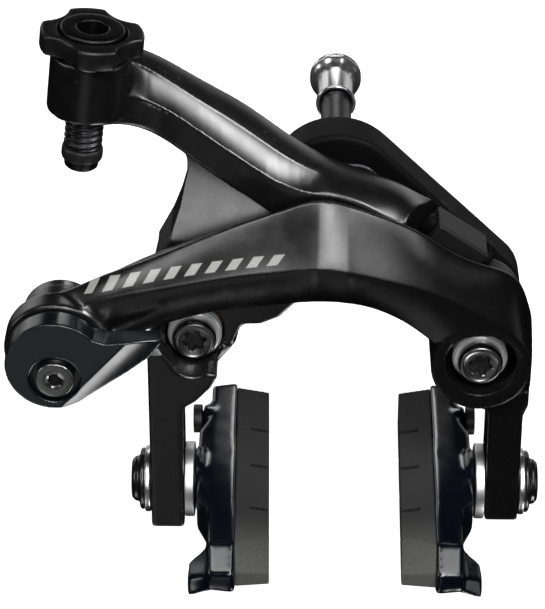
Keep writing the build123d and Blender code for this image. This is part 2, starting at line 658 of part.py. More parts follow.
def shoe_points(side, points):
    """Points given as (y, height above the shoe bolt), in the local coordinates of a toed plane."""
    return [(side * (y - SHOE_Y), z) for y, z in points]


def shoe_holder(side, name):
    face = [
        (SHOE_BACK, -5.0), (SHOE_BACK, 5.2), (SHOE_FRONT + 5, 5.2), (SHOE_FRONT, 1.5), (SHOE_FRONT, -2.5),
        (SHOE_FRONT + 4, -5.3),
    ]
    fin_root = [(-47.0, -1.5), (-58.5, -1.5), (-59.0, -4.6), (-47.0, -4.6)]
    fin_tip = [(-50.0, -4.6), (-55.0, -4.6), (-57.5, -7.6), (-55.5, -7.8)]
    with BuildPart() as holder:
        with BuildSketch(toed_plane(side, HOLDER_IN)) as body:
            add(outline(Plane.XY, shoe_points(side, face)))
            fillet(body.vertices(), 1.2)
        extrude(amount=HOLDER_OUT - HOLDER_IN, taper=6)
        # long swelling to the boss that takes the bolt
        with BuildSketch(toed_plane(side, HOLDER_OUT - 0.6)):
            SlotOverall(41, 9.4)
        with BuildSketch(toed_plane(side, BOSS_FACE - 0.5)):
            SlotOverall(26, 8.4)
        loft()
        with BuildSketch(toed_plane(side, BOSS_FACE - 0.8)):
            Circle(6.2)
        extrude(amount=0.8)
        # seat of the pad screw
        with BuildSketch(toed_plane(side, HOLDER_OUT - 0.6, PAD_SCREW_Y)):
            with Locations((0, PAD_SCREW_Z)):
                Circle(2.7)
        extrude(amount=PAD_SCREW_SEAT - HOLDER_OUT + 0.5)
        # guide fin at the front, on the outer side
        fin = [
            outline(toed_plane(side, HOLDER_OUT - 1.4), shoe_points(side, fin_root)),
            outline(toed_plane(side, HOLDER_OUT + 3.8), shoe_points(side, fin_tip)),
        ]
        loft(fin)
        # holes for the pad screw and the shoe bolt
        with BuildSketch(toed_plane(side, PAD_SCREW_SEAT, PAD_SCREW_Y)):
            with Locations((0, PAD_SCREW_Z)):
                Circle(PAD_SCREW_R)
        extrude(amount=-10, mode=Mode.SUBTRACT)
        with BuildSketch(toed_plane(side, BOSS_FACE)):
            Circle(SHOE_BOLT_HOLE_R)
        extrude(amount=-4, mode=Mode.SUBTRACT)
    finish(holder, name)


def brake_pad(side, name):
    root = [
        (SHOE_BACK - 1.6, -4.7), (SHOE_BACK - 1.6, 4.7), (SHOE_FRONT + 5.2, 4.7), (SHOE_FRONT + 1.6, 1.0),
        (SHOE_FRONT + 1.6, -2.2), (SHOE_FRONT + 5, -4.7),
    ]
    face = [
        (SHOE_BACK - 1.8, -3.6), (SHOE_BACK - 1.8, 3.6), (SHOE_FRONT + 9.5, 3.6), (SHOE_FRONT + 2.2, 0.2),
        (SHOE_FRONT + 2.2, -2.2), (SHOE_FRONT + 5, -3.6),
    ]
    with BuildPart() as pad:
        sides = [
            outline(toed_plane(side, HOLDER_IN), shoe_points(side, root)),
            outline(toed_plane(side, PAD_FACE), shoe_points(side, face)),
        ]
        loft(sides, ruled=True)
        with BuildSketch(toed_plane(side, PAD_FACE - 1)):
            with Locations(shoe_points(side, [(y, 0) for y in GROOVES])):
                Rectangle(1.2, 14)
        extrude(amount=4.6, mode=Mode.SUBTRACT)
    finish(pad, name)


def bolt_plane(side, x):
    """Plane square to a shoe bolt at distance x from the middle, looking outward."""
    return Plane(origin=(side * x, SHOE_Y, SHOE_Z), x_dir=(0, side, 0), z_dir=(side, 0, 0))


def shoe_washer(side, name, start, end, radius):
    with BuildPart() as piece:
        with BuildSketch(bolt_plane(side, start)):
            Circle(radius)
            Circle(SHOE_BOLT_HOLE_R, mode=Mode.SUBTRACT)
        extrude(amount=end - start)
        chamfer(piece.edges().filter_by(GeomType.CIRCLE).sort_by(SortBy.RADIUS)[-2:], 0.2)
    finish(piece, name)


def shoe_bolt(side, name):
    start = BOSS_FACE - 3.4
    flange = LEG_OUT + 1.3
    cap = flange + 1.0
    top = cap + 1.6
    with BuildPart() as bolt:
        with BuildSketch(bolt_plane(side, start)):
            Circle(BOLT_R)
        extrude(amount=flange - start)
        with BuildSketch(bolt_plane(side, flange)):
            Circle(5.9)
        extrude(amount=cap - flange)
        with BuildSketch(bolt_plane(side, cap)):
            Circle(4.3)
        extrude(amount=top - cap)
        with BuildSketch(bolt_plane(side, top)):
            RegularPolygon(2.0, 6, major_radius=False)
        extrude(amount=-2.2, mode=Mode.SUBTRACT)
    finish(bolt, name)


def pad_screw(side, name):
    with BuildPart() as screw:
        with BuildSketch(toed_plane(side, HOLDER_IN + 0.2, PAD_SCREW_Y)):
            with Locations((0, PAD_SCREW_Z)):
                Circle(PAD_SCREW_R - 0.02)
        extrude(amount=PAD_SCREW_SEAT - HOLDER_IN - 0.2)
        with BuildSketch(toed_plane(side, PAD_SCREW_SEAT, PAD_SCREW_Y)):
            with Locations((0, PAD_SCREW_Z)):
                Circle(2.8)
        extrude(amount=1.8)
    finish(screw, name)


bridge_plate()
mounting_stud()
toothed_washer()
recessed_nut()
pivot_hardware("left", -PIVOT_X, LEFT_HEAD_Y)
pivot_hardware("right", PIVOT_X, RIGHT_HEAD_Y)
rear_arm()
front_arm()
sync_roller()
centring_unit()
return_spring()
adjuster_knob()
adjuster_barrel()
adjuster_rings()
quick_release_lever()
cam_and_hub()
anchor_bolt()
for shoe_side, word in ((-1, "left"), (1, "right")):
    shoe_holder(shoe_side, f"{word}_shoe_holder")
    brake_pad(shoe_side, f"{word}_brake_pad")
    shoe_washer(shoe_side, f"{word}_spacer_washer", BOSS_FACE + 0.1, LEG_IN - 0.1, 7.2)
    shoe_washer(shoe_side, f"{word}_outer_washer", LEG_OUT + 0.1, LEG_OUT + 1.3, 6.35)
    shoe_bolt(shoe_side, f"{word}_shoe_bolt")
    pad_screw(shoe_side, f"{word}_pad_screw")
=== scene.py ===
import math

import bmesh
import bpy
import numpy as np
from mathutils import Matrix, Vector


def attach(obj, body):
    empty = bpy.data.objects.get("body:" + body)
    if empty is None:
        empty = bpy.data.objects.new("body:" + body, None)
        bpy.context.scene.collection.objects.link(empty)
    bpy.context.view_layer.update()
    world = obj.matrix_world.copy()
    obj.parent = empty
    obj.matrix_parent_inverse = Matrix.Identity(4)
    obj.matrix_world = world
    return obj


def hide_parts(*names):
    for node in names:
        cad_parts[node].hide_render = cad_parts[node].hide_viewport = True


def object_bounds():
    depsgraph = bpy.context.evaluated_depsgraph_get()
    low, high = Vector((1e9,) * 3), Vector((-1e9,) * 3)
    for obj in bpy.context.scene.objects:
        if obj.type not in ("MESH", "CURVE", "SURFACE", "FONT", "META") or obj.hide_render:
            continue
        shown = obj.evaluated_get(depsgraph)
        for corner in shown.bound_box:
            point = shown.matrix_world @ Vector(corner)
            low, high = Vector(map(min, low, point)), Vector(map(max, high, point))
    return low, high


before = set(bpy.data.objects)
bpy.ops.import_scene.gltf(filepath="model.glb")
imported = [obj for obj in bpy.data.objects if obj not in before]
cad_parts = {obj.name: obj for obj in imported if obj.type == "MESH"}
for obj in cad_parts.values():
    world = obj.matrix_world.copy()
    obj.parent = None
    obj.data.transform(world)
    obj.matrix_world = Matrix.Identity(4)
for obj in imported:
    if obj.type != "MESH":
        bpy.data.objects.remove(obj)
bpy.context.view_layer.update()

# Rim brake caliper. Helper sizes are in millimetres in the CAD frame (+X right, +Y to the fork, +Z up), and
# MM turns them into metres where Blender needs them.
MM = 0.001


# ---------------------------------------------------------------- camera
AIM = Vector((-12.0, -20.0, -19.0))
CAMERA_DISTANCE = 500.0
CAMERA_ELEVATION = math.radians(31.5)
CAMERA_AZIMUTH = math.radians(-0.8)
CAMERA_LENS = 175.05


def make_camera():
    data = bpy.data.cameras.new("photo_camera")
    data.sensor_fit = "HORIZONTAL"
    data.sensor_width = 36.0
    data.lens = CAMERA_LENS
    data.clip_start = 0.01
    data.clip_end = 50.0
    camera = bpy.data.objects.new("photo_camera", data)
    bpy.context.scene.collection.objects.link(camera)
    across = math.cos(CAMERA_ELEVATION)
    forward = Vector((
        math.sin(CAMERA_AZIMUTH) * across, math.cos(CAMERA_AZIMUTH) * across, -math.sin(CAMERA_ELEVATION)
    ))
    camera.location = (AIM - forward * CAMERA_DISTANCE) * MM
    camera.rotation_euler = forward.to_track_quat("-Z", "Y").to_euler()
    bpy.context.scene.camera = camera


make_camera()


# ---------------------------------------------------------------- studio
def area_light(name, place_at, aim_at, size, brightness, spread_angle):
    """Soft rectangular light close to the object, in millimetres, with the brightness of its face and its
    spread in degrees."""
    data = bpy.data.lights.new(name, "AREA")
    data.shape = "RECTANGLE"
    data.size, data.size_y = size[0] * MM, size[1] * MM
    data.energy = brightness * math.pi * data.size * data.size_y
    light = bpy.data.objects.new(name, data)
    bpy.context.scene.collection.objects.link(light)
    light.location = Vector(place_at) * MM
    light.rotation_euler = (Vector(place_at) - Vector(aim_at)).to_track_quat("Z", "Y").to_euler()
    data.spread = math.radians(spread_angle)
    light.visible_camera = False


class Sums:
    """Adds small calculations to a node tree."""

    def __init__(self, nodes, links):
        self.nodes = nodes
        self.links = links

    def feed(self, socket, value):
        if isinstance(value, (int, float)):
            socket.default_value = value
        else:
            self.links.new(value, socket)

    def calc(self, operation, first, second=0.0):
        node = self.nodes.new("ShaderNodeMath")
        node.operation = operation
        self.feed(node.inputs[0], first)
        self.feed(node.inputs[1], second)
        return node.outputs[0]

    def ramp(self, value, low, high):
        """Smooth step from 0 at low to 1 at high; low may be above high."""
        node = self.nodes.new("ShaderNodeMapRange")
        node.interpolation_type = "SMOOTHSTEP"
        node.inputs["From Min"].default_value = low
        node.inputs["From Max"].default_value = high
        self.feed(node.inputs["Value"], value)
        return node.outputs["Result"]

    def window(self, value, middle, half, soft):
        """1 within half of middle, fading to 0 over soft."""
        away = self.calc("ABSOLUTE", self.calc("SUBTRACT", value, middle))
        return self.ramp(away, half + soft, half)


# Soft panels of the studio: middle and half width to the right, middle and half height, softness of each
# edge, whether in front of or behind the object, and strength. Positions are direction components.
PANELS = [
    (0.27, 0.07, 0.24, 0.60, 0.12, 0.14, True, 2.0),
    (0.16, 0.03, 0.06, 0.60, 0.16, 0.12, True, 12.0),
    (-0.02, 0.05, 0.12, 0.34, 0.10, 0.12, True, 4.8),
    (-0.34, 0.12, 0.16, -0.80, 0.08, 0.10, True, 1.2),
    (-0.12, 0.10, 0.16, -0.45, 0.08, 0.10, True, 0.25),
    (0.36, 0.10, 0.12, -0.84, 0.05, 0.07, True, 6.0),
    (0.96, 0.03, 0.06, 0.00, 0.20, 0.15, True, 0.8),
    (-0.92, 0.05, 0.08, 0.30, 0.12, 0.14, True, 3.0),
    (-0.10, 0.40, 0.20, 0.88, 0.03, 0.05, True, 4.0),
    (-0.45, 0.08, 0.12, 0.27, 0.10, 0.12, False, 1.0),
    (0.42, 0.06, 0.10, 0.27, 0.10, 0.12, False, 0.4),
    (0.00, 0.60, 0.30, 0.08, 0.05, 0.10, False, 0.4),
    (0.00, 0.35, 0.30, -0.10, 0.08, 0.15, False, 0.6),
]
# Strength of the dark between the panels, and half width of the blend between front and back.
DIM = 0.006
FRONT_BLEND = 0.05

# Near lights in millimetres: place, aim, size, brightness and spread in degrees.
NEAR_LIGHTS = {
    "channel_box": ((60.0, -56.0, 86.0), (-20.0, -26.0, 18.0), (70.0, 54.0), 0.9, 40.0),
    "right_collar_box": ((34.0, -92.0, 70.0), (26.4, -35.0, -20.0), (30.0, 30.0), 0.35, 22.0),
    "left_collar_box": ((-10.0, -88.0, 70.0), (-26.4, -28.0, -20.0), (30.0, 30.0), 0.25, 22.0),
    "nut_box": ((0.0, 140.0, 75.0), (0.0, 34.0, 0.0), (90.0, 60.0), 0.16, 36.0),
}


def make_studio():
    """White to the camera, and near darkness with soft panels to everything that is lit."""
    world = bpy.data.worlds.new("studio_world")
    bpy.context.scene.world = world
    world.use_nodes = True
    nodes, links = world.node_tree.nodes, world.node_tree.links
    nodes.clear()
    output = nodes.new("ShaderNodeOutputWorld")
    seen = nodes.new("ShaderNodeBackground")
    seen.inputs["Color"].default_value = (1, 1, 1, 1)
    seen.inputs["Strength"].default_value = 1.0
    lit = nodes.new("ShaderNodeBackground")
    coordinates = nodes.new("ShaderNodeTexCoord")
    split = nodes.new("ShaderNodeSeparateXYZ")
    links.new(coordinates.outputs["Generated"], split.inputs[0])
    sums = Sums(nodes, links)
    front = sums.ramp(split.outputs["Y"], FRONT_BLEND, -FRONT_BLEND)
    back = sums.calc("SUBTRACT", 1.0, front)
    total = DIM
    for across, half_across, soft_across, up, half_up, soft_up, in_front, strength in PANELS:
        panel = sums.calc(
            "MULTIPLY",
            sums.window(split.outputs["X"], across, half_across, soft_across),
            sums.window(split.outputs["Z"], up, half_up, soft_up),
        )
        panel = sums.calc("MULTIPLY", panel, front if in_front else back)
        total = sums.calc("ADD", total, sums.calc("MULTIPLY", panel, strength))
    links.new(total, lit.inputs["Strength"])
    lit.inputs["Color"].default_value = (1, 1, 1, 1)
    path = nodes.new("ShaderNodeLightPath")
    choose = nodes.new("ShaderNodeMixShader")
    links.new(path.outputs["Is Camera Ray"], choose.inputs["Fac"])
    links.new(lit.outputs[0], choose.inputs[1])
    links.new(seen.outputs[0], choose.inputs[2])
    links.new(choose.outputs[0], output.inputs["Surface"])
    for name, light in NEAR_LIGHTS.items():
        area_light(name, *light)


# Half width of the floor in metres, its depth below the object in millimetres, and its own glow.
FLOOR_HALF = 6.0
FLOOR_DROP = 1.0
FLOOR_GLOW = 0.97


def make_floor():
    half = FLOOR_HALF
    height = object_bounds()[0][2] - FLOOR_DROP * MM
    mesh = bpy.data.meshes.new("floor")
    corners = [(-half, -half, height), (half, -half, height), (half, half, height), (-half, half, height)]
    mesh.from_pydata(corners, [], [(0, 1, 2, 3)])
    floor = bpy.data.objects.new("floor", mesh)
    bpy.context.scene.collection.objects.link(floor)
    material = bpy.data.materials.new("pale_floor")
    material.use_nodes = True
    shader = material.node_tree.nodes["Principled BSDF"]
    shader.inputs["Base Color"].default_value = (0.8, 0.8, 0.8, 1)
    shader.inputs["Roughness"].default_value = 0.9
    shader.inputs["Specular IOR Level"].default_value = 0.0
    shader.inputs["Emission Color"].default_value = (1, 1, 1, 1)
    shader.inputs["Emission Strength"].default_value = FLOOR_GLOW
    mesh.materials.append(material)
    floor.visible_glossy = False
    floor.visible_diffuse = False


bpy.context.scene.view_settings.view_transform = "Standard"
make_studio()
make_floor()


# ---------------------------------------------------------------- materials
def new_material(name, colour, roughness, metallic=0.0, specular=0.5):
    material = bpy.data.materials.new(name)
    material.use_nodes = True
    shader = material.node_tree.nodes["Principled BSDF"]
    shader.inputs["Base Color"].default_value = (*colour, 1)
    shader.inputs["Roughness"].default_value = roughness
    shader.inputs["Metallic"].default_value = metallic
    shader.inputs["Specular IOR Level"].default_value = specular
    return material, material.node_tree.nodes, material.node_tree.links, shader


def noise(nodes, links, scale, detail=2.0, stretch=None):
    """Noise in the object's own coordinates, scale in features per metre."""
    coordinates = nodes.new("ShaderNodeTexCoord")
    texture = nodes.new("ShaderNodeTexNoise")
    texture.inputs["Scale"].default_value = scale
    texture.inputs["Detail"].default_value = detail
    source = coordinates.outputs["Object"]
    if stretch:
        mapping = nodes.new("ShaderNodeMapping")
        mapping.inputs["Scale"].default_value = stretch
        links.new(source, mapping.inputs["Vector"])
        source = mapping.outputs["Vector"]
    links.new(source, texture.inputs["Vector"])
    return texture.outputs["Fac"]


def spread(nodes, links, value, low, high, start=0.3, end=0.7):
    """Map a noise value onto a range."""
    ranged = nodes.new("ShaderNodeMapRange")
    ranged.inputs["From Min"].default_value = start
    ranged.inputs["From Max"].default_value = end
    ranged.inputs["To Min"].default_value = low
    ranged.inputs["To Max"].default_value = high
    links.new(value, ranged.inputs["Value"])
    return ranged.outputs["Result"]


def bump(nodes, links, shader, height, strength, distance):
    """Fine relief from a height, with its distance in metres."""
    node = nodes.new("ShaderNodeBump")
    node.inputs["Strength"].default_value = strength
    node.inputs["Distance"].default_value = distance
    links.new(height, node.inputs["Height"])
    links.new(node.outputs["Normal"], shader.inputs["Normal"])


# Pointiness at which an edge starts to turn lighter, and at which it is fully lighter.
EDGE_START = 0.53
EDGE_END = 0.62


def edge_tint(nodes, links, shader, base, edge_colour):
    """Slightly lighter colour on sharp convex edges."""
    geometry = nodes.new("ShaderNodeNewGeometry")
    amount = spread(nodes, links, geometry.outputs["Pointiness"], 0.0, 1.0, EDGE_START, EDGE_END)
    mix = nodes.new("ShaderNodeMix")
    mix.data_type = "RGBA"
    mix.inputs["A"].default_value = (*base, 1)
    mix.inputs["B"].default_value = (*edge_colour, 1)
    links.new(amount, mix.inputs["Factor"])
    links.new(mix.outputs["Result"], shader.inputs["Base Color"])


# Anodised skin: colour and reflectance of the arms, features per metre of the cloudy sheen and of the grain,
# and the grain's strength and depth in metres.
ANODISED = (0.0045, 0.0045, 0.0045)
ANODISED_SPECULAR = 0.9
EDGE_LIGHTER = (0.02, 0.02, 0.02)
SHEEN_SCALE = 260
GRAIN_SCALE = 5200
GRAIN_STRENGTH = 0.05
GRAIN_DEPTH = 0.00003


def anodised_skin(nodes, links, shader, roughness):
    """Uneven sheen and fine grain of an anodised forging."""
    cloud = noise(nodes, links, SHEEN_SCALE, 3)
    sheen = spread(nodes, links, cloud, roughness - 0.03, roughness + 0.04)
    links.new(sheen, shader.inputs["Roughness"])
    bump(nodes, links, shader, noise(nodes, links, GRAIN_SCALE, 2), GRAIN_STRENGTH, GRAIN_DEPTH)


def anodised_black(name, roughness, colour=ANODISED, specular=ANODISED_SPECULAR):
    """Black anodised forging with faint unevenness and lighter edges."""
    material, nodes, links, shader = new_material(name, colour, roughness, specular=specular)
    anodised_skin(nodes, links, shader, roughness)
    edge_tint(nodes, links, shader, colour, EDGE_LIGHTER)
    return material


# Plain stripes on the front arm: colour, parabola of the crease, middle and half height of the row above it,
# slant, pitch, filled share, the ends of the row and the depths between which they fade in towards the front.
STRIPE_SILVER = (0.34, 0.34, 0.33)
STRIPE_CURVE = (0.746, 0.0579, -0.002443)
STRIPE_HEIGHT = 2.1
STRIPE_HALF = 0.75
STRIPE_LEAN = 0.9
STRIPE_PITCH = 3.7
STRIPE_FILL = 0.5
STRIPE_START = -46.9
STRIPE_END = -11.0
STRIPE_BACK = -32.0
STRIPE_FRONT = -33.0
# Softness of the row's edges, of the sides of a stripe as a share of the pitch, and of the row's ends, and a
# shift that keeps the count of pitches above zero.
ROW_SOFT = 0.08
SIDE_SOFT = 0.02
END_SOFT = 0.05
STRIPE_SHIFT = 100.0
# Painted shade: where the arm's reflection starts and ends being dimmed towards the right, and by how much.
RIGHT_SHADE_START = -1.0
RIGHT_SHADE_END = 14.0
RIGHT_SHADE_DIMMING = 0.72


def striped_arm(name, roughness):
    """The arm's black with a row of plain silver stripes along its crease, and painted shade that dims its
    reflection towards the right.
    """
    material, nodes, links, shader = new_material(name, ANODISED, roughness, specular=ANODISED_SPECULAR)
    anodised_skin(nodes, links, shader, roughness)
    sums = Sums(nodes, links)
    coordinates = nodes.new("ShaderNodeTexCoord")
    split = nodes.new("ShaderNodeSeparateXYZ")
    links.new(coordinates.outputs["Object"], split.inputs[0])
    x = sums.calc("DIVIDE", split.outputs["X"], MM)
    y = sums.calc("DIVIDE", split.outputs["Y"], MM)
    z = sums.calc("DIVIDE", split.outputs["Z"], MM)
    # painted shade: the reflection is dimmed towards the right pivot so that side stays dark
    right_shade = sums.calc("MULTIPLY", sums.ramp(x, RIGHT_SHADE_START, RIGHT_SHADE_END), RIGHT_SHADE_DIMMING)
    links.new(sums.calc("SUBTRACT", ANODISED_SPECULAR, right_shade), shader.inputs["Specular IOR Level"])
    # height above the crease, which runs along a flat parabola
    base_height, slope, curve = STRIPE_CURVE
    bend = sums.calc("MULTIPLY", sums.calc("MULTIPLY", x, x), curve)
    crease = sums.calc("ADD", sums.calc("ADD", bend, sums.calc("MULTIPLY", x, slope)), base_height)
    height = sums.calc("SUBTRACT", z, crease)
    band = sums.window(height, STRIPE_HEIGHT, STRIPE_HALF, ROW_SOFT)
    lean = sums.calc("SUBTRACT", x, sums.calc("MULTIPLY", height, STRIPE_LEAN))
    cycle = sums.calc("FRACT", sums.calc("DIVIDE", sums.calc("ADD", lean, STRIPE_SHIFT), STRIPE_PITCH))
    dashes = sums.window(cycle, 0.5, STRIPE_FILL / 2, SIDE_SOFT)
    span = sums.window(lean, (STRIPE_START + STRIPE_END) / 2, (STRIPE_END - STRIPE_START) / 2, END_SOFT)
    front = sums.ramp(y, STRIPE_BACK, STRIPE_FRONT)
    mask = sums.calc("MULTIPLY", sums.calc("MULTIPLY", band, dashes), sums.calc("MULTIPLY", span, front))
    mix = nodes.new("ShaderNodeMix")
    mix.data_type = "RGBA"
    mix.inputs["A"].default_value = (*ANODISED, 1)
    mix.inputs["B"].default_value = (*STRIPE_SILVER, 1)
    links.new(mask, mix.inputs["Factor"])
    links.new(mix.outputs["Result"], shader.inputs["Base Color"])
    return material


def plain_metal(name, colour, roughness, grain=1800, stretch=(1, 1, 1), metallic=1.0, streaks=0.0):
    """Machined or plated metal with fine grain."""
    material, nodes, links, shader = new_material(name, colour, roughness, metallic=metallic)
    grains = noise(nodes, links, grain, 4, stretch)
    links.new(spread(nodes, links, grains, roughness * 0.75, roughness * 1.3), shader.inputs["Roughness"])
    if streaks:
        shade = nodes.new("ShaderNodeMix")
        shade.data_type = "RGBA"
        shade.inputs["A"].default_value = (*(streaks * part for part in colour), 1)
        shade.inputs["B"].default_value = (*colour, 1)
        links.new(spread(nodes, links, grains, 0.0, 1.0), shade.inputs["Factor"])
        links.new(shade.outputs["Result"], shader.inputs["Base Color"])
    bump(nodes, links, shader, grains, strength=0.06, distance=0.00004)
    return material


def turned_metal(name, colour, roughness, rings=2600, metallic=1.0):
    """Metal turned about the object's own Z axis, with fine rings from the tool."""
    material, nodes, links, shader = new_material(name, colour, roughness, metallic=metallic)
    coordinates = nodes.new("ShaderNodeTexCoord")
    flat = nodes.new("ShaderNodeVectorMath")
    flat.operation = "MULTIPLY"
    flat.inputs[1].default_value = (1, 1, 0)
    links.new(coordinates.outputs["Object"], flat.inputs[0])
    length = nodes.new("ShaderNodeVectorMath")
    length.operation = "LENGTH"
    links.new(flat.outputs["Vector"], length.inputs[0])
    texture = nodes.new("ShaderNodeTexNoise")
    texture.noise_dimensions = "1D"
    texture.inputs["Scale"].default_value = rings
    texture.inputs["Detail"].default_value = 3
    links.new(length.outputs["Value"], texture.inputs["W"])
    marks = texture.outputs["Fac"]
    links.new(spread(nodes, links, marks, roughness * 0.7, roughness * 1.4), shader.inputs["Roughness"])
    bump(nodes, links, shader, marks, strength=0.12, distance=0.00003)
    return material


# Rubber's colour and the paler colour of the painted light on its front ramp, and the depths where that
# painted light starts and is complete.
RUBBER = (0.03, 0.03, 0.03)
RAMP_LIT_RUBBER = (0.13, 0.13, 0.125)
RAMP_LIGHT_START = -45.0
RAMP_LIGHT_END = -60.0


def rubber(name):
    """Matt moulded rubber with a fine uneven skin, and painted light that makes it speckled paler towards its
    front ramp.
    """
    material, nodes, links, shader = new_material(name, RUBBER, 0.62, specular=0.35)
    skin = noise(nodes, links, 3200, 5)
    links.new(spread(nodes, links, skin, 0.55, 0.75), shader.inputs["Roughness"])
    bump(nodes, links, shader, skin, strength=0.45, distance=0.00008)
    sums = Sums(nodes, links)
    coordinates = nodes.new("ShaderNodeTexCoord")
    split = nodes.new("ShaderNodeSeparateXYZ")
    links.new(coordinates.outputs["Object"], split.inputs[0])
    # painted light: the front ramp is made paler, speckled by the skin's noise
    ramp = sums.ramp(split.outputs["Y"], RAMP_LIGHT_START * MM, RAMP_LIGHT_END * MM)
    speckle = spread(nodes, links, skin, 0.55, 1.0, 0.35, 0.65)
    mix = nodes.new("ShaderNodeMix")
    mix.data_type = "RGBA"
    mix.inputs["A"].default_value = (*RUBBER, 1)
    mix.inputs["B"].default_value = (*RAMP_LIT_RUBBER, 1)
    links.new(sums.calc("MULTIPLY", ramp, speckle), mix.inputs["Factor"])
    links.new(mix.outputs["Result"], shader.inputs["Base Color"])
    return material


def satin_plastic(name, colour, roughness):
    """Moulded plastic with a fine spark-eroded texture."""
    material, nodes, links, shader = new_material(name, colour, roughness)
    skin = noise(nodes, links, 4200, 3)
    links.new(spread(nodes, links, skin, roughness - 0.06, roughness + 0.08), shader.inputs["Roughness"])
    bump(nodes, links, shader, skin, strength=0.12, distance=0.00004)
    edge_tint(nodes, links, shader, colour, tuple(2.2 * c for c in colour))
    return material


MATERIALS = {
    "front_arm": striped_arm("striped_black_arm", 0.26),
    "arm": anodised_black("anodised_black_arm", 0.27),
    "lever": anodised_black("anodised_black_lever", 0.2, (0.004, 0.0055, 0.007), 1.0),
    # painted shade: a darker, near-unreflecting copy of the arms' black, for the bridge plate and the
    # centring screw
    "plate": anodised_black("painted_shade_black", 0.55, (0.003, 0.003, 0.003), 0.1),
    "chrome": plain_metal("bright_chrome", (0.9, 0.9, 0.91), 0.17, 1300, (1, 1, 0.05), 0.9, 0.5),
    "dark_steel": turned_metal("dark_turned_steel", (0.16, 0.16, 0.17), 0.3),
    "bolt_steel": turned_metal("grey_turned_steel", (0.3, 0.3, 0.3), 0.26),
    "black_steel": plain_metal("black_oxide_steel", (0.045, 0.045, 0.048), 0.36, 2400),
    "steel": plain_metal("plain_steel", (0.55, 0.56, 0.58), 0.28, 2200),
    "washer": turned_metal("turned_aluminium", (0.8, 0.8, 0.81), 0.3, 1900),
    "holder": anodised_black("gloss_black_holder", 0.16, (0.003, 0.0045, 0.009), 0.8),
    "pad": rubber("pad_rubber"),
    "knob": satin_plastic("satin_knob", (0.006, 0.006, 0.0062), 0.34),
    "plastic": satin_plastic("matt_black_plastic", (0.008, 0.008, 0.008), 0.45),
    "black_gloss": anodised_black("gloss_black_cap", 0.2, (0.008, 0.008, 0.009), 1.0),
    # painted shade: near-black, little-metal finish for the dark inside of the driving sockets
    "socket": plain_metal("painted_shade_socket", (0.02, 0.02, 0.02), 0.3, 2400, metallic=0.3),
    "bright_collar": turned_metal("bright_collar", (0.86, 0.86, 0.87), 0.26, metallic=0.4),
    "bronze": plain_metal("sintered_bronze", (0.52, 0.36, 0.18), 0.42, 3000),
}


# ---------------------------------------------------------------- mesh helpers
def place(origin, axis, turn=0.0):
    """Matrix for a piece whose own Z runs along axis from origin, in millimetres."""
    z_axis = Vector(axis).normalized()
    x_axis = Vector((1, 0, 0)) if abs(z_axis.x) < 0.9 else Vector((0, 1, 0))
    y_axis = z_axis.cross(x_axis).normalized()
    x_axis = y_axis.cross(z_axis)
    matrix = Matrix((x_axis, y_axis, z_axis)).transposed().to_4x4() @ Matrix.Rotation(turn, 4, "Z")
    matrix.translation = Vector(origin) * MM
    return matrix


def new_piece(name, mesh, material, body, nodes=(), matrix=None, crisp=32.0):
    """Link a mesh as a piece that rides on a body and stands for CAD nodes."""
    mesh.polygons.foreach_set("use_smooth", [True] * len(mesh.polygons))
    if crisp:
        mesh.set_sharp_from_angle(angle=math.radians(crisp))
    piece = bpy.data.objects.new(name, mesh)
    bpy.context.scene.collection.objects.link(piece)
    if matrix is not None:
        piece.matrix_world = matrix
    mesh.materials.clear()
    mesh.materials.append(MATERIALS[material])
    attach(piece, body)
    if nodes:
        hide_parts(*nodes)
    return piece


def soften(points, radius, closed=False, steps=3):
    """Round the corners of a profile with short curves."""
    result = []
    count = len(points)
    for index, corner in enumerate(points):
        if not closed and index in (0, count - 1):
            result.append(corner)
            continue
        before = Vector(points[index - 1])
        after = Vector(points[(index + 1) % count])
        corner = Vector(corner)
        reach = min(radius, 0.45 * (before - corner).length, 0.45 * (after - corner).length)
        start = corner + (before - corner).normalized() * reach
        end = corner + (after - corner).normalized() * reach
        for step in range(steps + 1):
            t = step / steps
            result.append(tuple(start * (1 - t) ** 2 + corner * 2 * t * (1 - t) + end * t ** 2))
    return result


def turned_mesh(name, rings, segments=96, closed=False):
    """Surface of revolution from (radius, height) rings in millimetres. A radius may be a function of angle
    and height. A zero radius at either end closes it there, and closed joins the last ring to the first."""
    mesh = bmesh.new()
    rows = []
    for radius, height in rings:
        if not callable(radius) and radius < 1e-6:
            rows.append([mesh.verts.new((0, 0, height * MM))])
            continue
        row = []
        for step in range(segments):
            angle = 2 * math.pi * step / segments
            reach = radius(angle, height) if callable(radius) else radius
            x, y = reach * math.cos(angle) * MM, reach * math.sin(angle) * MM
            row.append(mesh.verts.new((x, y, height * MM)))
        rows.append(row)
    pairs = list(zip(rows, rows[1:]))
    if closed:
        pairs.append((rows[-1], rows[0]))
    for low, high in pairs:
        for step in range(segments):
            after = (step + 1) % segments
            if len(low) == 1:
                mesh.faces.new((low[0], high[step], high[after]))
            elif len(high) == 1:
                mesh.faces.new((low[after], low[step], high[0]))
            else:
                mesh.faces.new((low[step], high[step], high[after], low[after]))
    bmesh.ops.recalc_face_normals(mesh, faces=mesh.faces)
    data = bpy.data.meshes.new(name)
    mesh.to_mesh(data)
    mesh.free()
    return data


def torx_radius(scale=1.0):
    """Six-lobed socket outline as a function of angle."""
    def radius(angle, height):
        return scale * (1.95 + 0.34 * math.cos(6 * angle))
    return radius


def hex_radius(apothem):
    """Hexagonal outline as a function of angle."""
    def radius(angle, height):
        return apothem / math.cos((angle % (math.pi / 3)) - math.pi / 6)
    return radius


